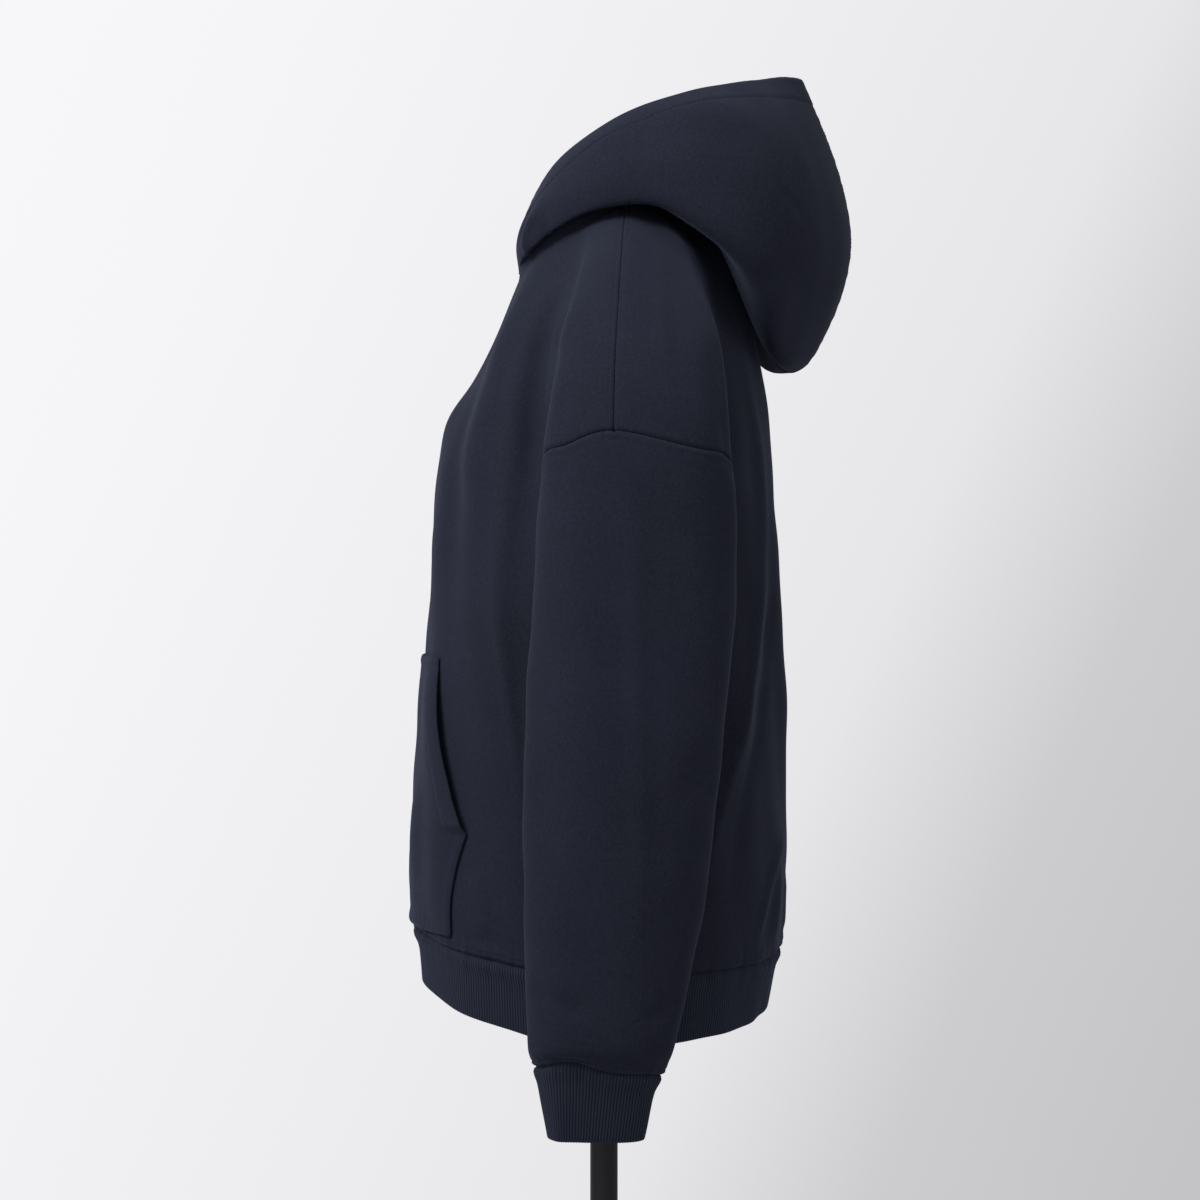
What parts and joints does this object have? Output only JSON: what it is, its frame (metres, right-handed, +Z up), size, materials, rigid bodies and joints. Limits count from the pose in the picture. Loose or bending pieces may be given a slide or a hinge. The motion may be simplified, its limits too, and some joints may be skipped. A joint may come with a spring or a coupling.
{
  "type": "pullover hoodie on dress form",
  "caption": "Plain dark pullover hoodie with a kangaroo pocket, ribbed hem and cuffs and an open hood, worn by a limbless dress form on a pole with a round base.",
  "frame": {"origin": "middle of the base's underside, on the floor, on the pole's axis", "axes": "+Z up along the pole, -Y to the hoodie's front, +X to the wearer's left"},
  "size_m": [0.557, 0.4142, 1.5063],
  "materials": {
    "knit": "smooth heavy double knit, matte, dark navy",
    "rib": "fine rib knit, matte, dark navy",
    "form": "plain linen cover, matte, natural",
    "metal": "satin black"
  },
  "bodies": {
    "root": {"front": "knit", "back": "knit", "sleeve_left": "knit", "sleeve_right": "knit", "hood_left": "knit", "hood_right": "knit", "pocket": "knit", "hem_band": "rib", "cuff_left": "rib", "cuff_right": "rib", "form_torso": "form", "stand_pole": "metal", "stand_base": "metal"}
  },
  "joints": []
}
